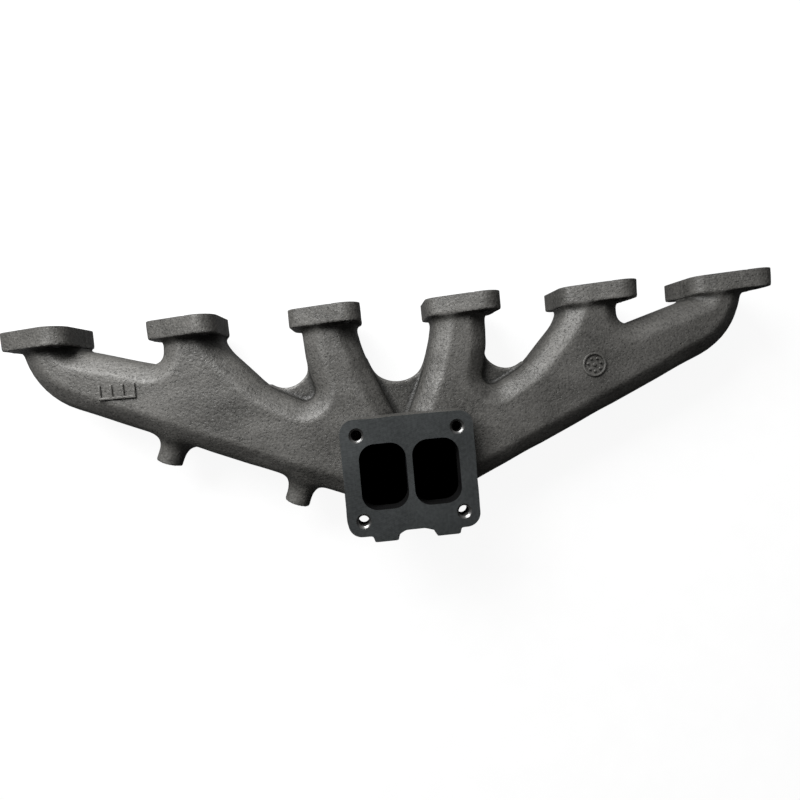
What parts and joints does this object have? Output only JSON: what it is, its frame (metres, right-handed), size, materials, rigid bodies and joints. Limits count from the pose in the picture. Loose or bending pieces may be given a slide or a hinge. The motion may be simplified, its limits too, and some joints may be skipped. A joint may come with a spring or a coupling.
{
  "type": "exhaust manifold",
  "caption": "Cast log-type exhaust manifold for an inline diesel engine, with slanted head flanges and a twin-port turbo flange.",
  "frame": {"origin": "centre of the turbo flange's machined face, on the divider between its two ports", "axes": "+X along the engine, +Y towards the cylinder head, +Z out of the turbo flange, upwards as fitted"},
  "size_m": [0.664, 0.1988, 0.0919],
  "materials": {
    "cast_skin": "sand-cast skin, dark warm grey, semi-matt",
    "machined_face": "milled and lightly oiled, dark blue-grey"
  },
  "bodies": {
    "root": {"port_flange_1": "machined_face", "runner_1": "cast_skin", "port_flange_2": "machined_face", "runner_2": "cast_skin", "port_flange_3": "machined_face", "runner_3": "cast_skin", "port_flange_4": "machined_face", "runner_4": "cast_skin", "port_flange_5": "machined_face", "runner_5": "cast_skin", "port_flange_6": "machined_face", "runner_6": "cast_skin", "front_log": "cast_skin", "front_collector": "cast_skin", "rear_log": "cast_skin", "rear_collector": "cast_skin", "scroll_divider": "cast_skin", "turbo_neck": "cast_skin", "turbo_flange": "machined_face", "gate_stub_left": "cast_skin", "gate_stub_right": "cast_skin", "web_2_3": "cast_skin", "web_3_4": "cast_skin", "web_4_5": "cast_skin", "boss_outer": "cast_skin", "boss_inner": "cast_skin", "date_clock": "cast_skin", "tally_mark": "cast_skin"}
  },
  "joints": []
}
